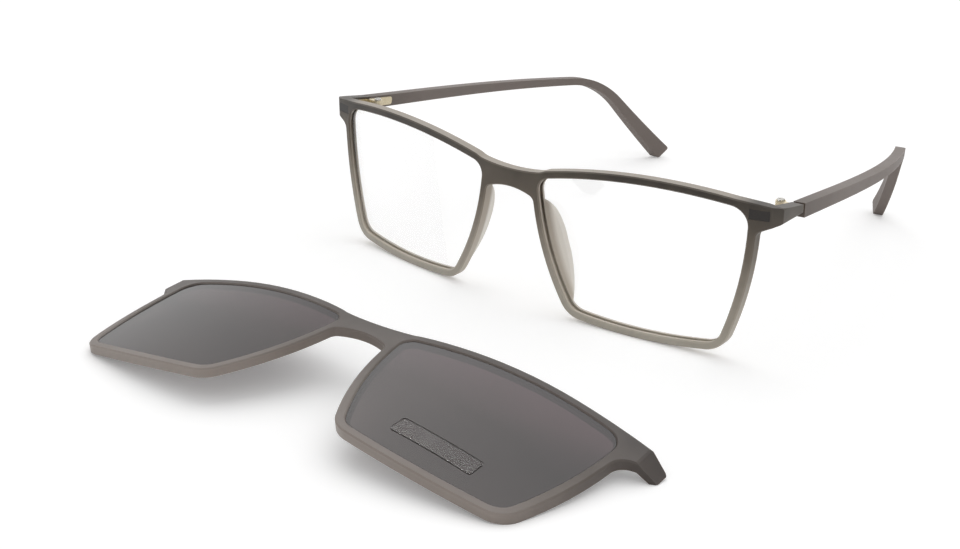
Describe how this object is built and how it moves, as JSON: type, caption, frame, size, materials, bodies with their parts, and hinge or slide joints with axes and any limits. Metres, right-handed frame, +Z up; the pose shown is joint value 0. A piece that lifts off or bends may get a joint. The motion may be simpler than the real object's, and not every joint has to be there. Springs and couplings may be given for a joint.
{
  "type": "eyeglasses with magnetic sun clip",
  "caption": "Rectangular full-rim optical frame with folding temples and a tinted sun clip that holds to the front by magnets; the clip lies in front.",
  "frame": {"origin": "middle of the footprint of the frame and its clip, on the floor", "axes": "+X across the face towards the wearer's left, +Y from the face back to the temple tips, +Z up"},
  "size_m": [0.1542, 0.2524, 0.0413],
  "materials": {
    "frame_nylon": "satin matte moulded nylon, translucent, darker at the top",
    "temple_nylon": "matte moulded nylon",
    "clip_nylon": "satin matte moulded nylon",
    "clear_lens": "clear polished plastic",
    "tinted_lens": "grey tinted polished plastic",
    "hinge_metal": "plated, satin",
    "screw_metal": "plated",
    "magnet": "dark coating"
  },
  "bodies": {
    "front": {"demo_lens_left": "clear_lens", "demo_lens_right": "clear_lens", "frame_magnet_left": "magnet", "frame_magnet_right": "magnet", "front_frame": "frame_nylon", "front_hinge_left": "hinge_metal", "front_hinge_right": "hinge_metal", "hinge_screw_left": "screw_metal", "hinge_screw_right": "screw_metal"},
    "temple_left": {"temple_left": "temple_nylon", "temple_hinge_left": "hinge_metal"},
    "temple_right": {"temple_right": "temple_nylon", "temple_hinge_right": "hinge_metal"},
    "clip": {"clip_frame": "clip_nylon", "clip_lens_left": "tinted_lens", "clip_lens_right": "tinted_lens", "clip_magnet_left": "magnet", "clip_magnet_right": "magnet"}
  },
  "joints": [
    {"name": "left_temple_fold", "type": "hinge", "parent": "front", "child": "temple_left", "pos_m": [0.05801, -0.01053, 0.03806], "axis": [0, -0.0819, 0.9966], "range_deg": [-8.6, 79.4]},
    {"name": "right_temple_fold", "type": "hinge", "parent": "front", "child": "temple_right", "pos_m": [-0.06939, -0.01053, 0.03806], "axis": [0, 0.0819, -0.9966], "range_deg": [0, 78]},
    {"name": "clip_lift", "type": "slide", "parent": "front", "child": "clip", "axis": [0, 0, 1], "range_m": [0, 0.06]}
  ]
}
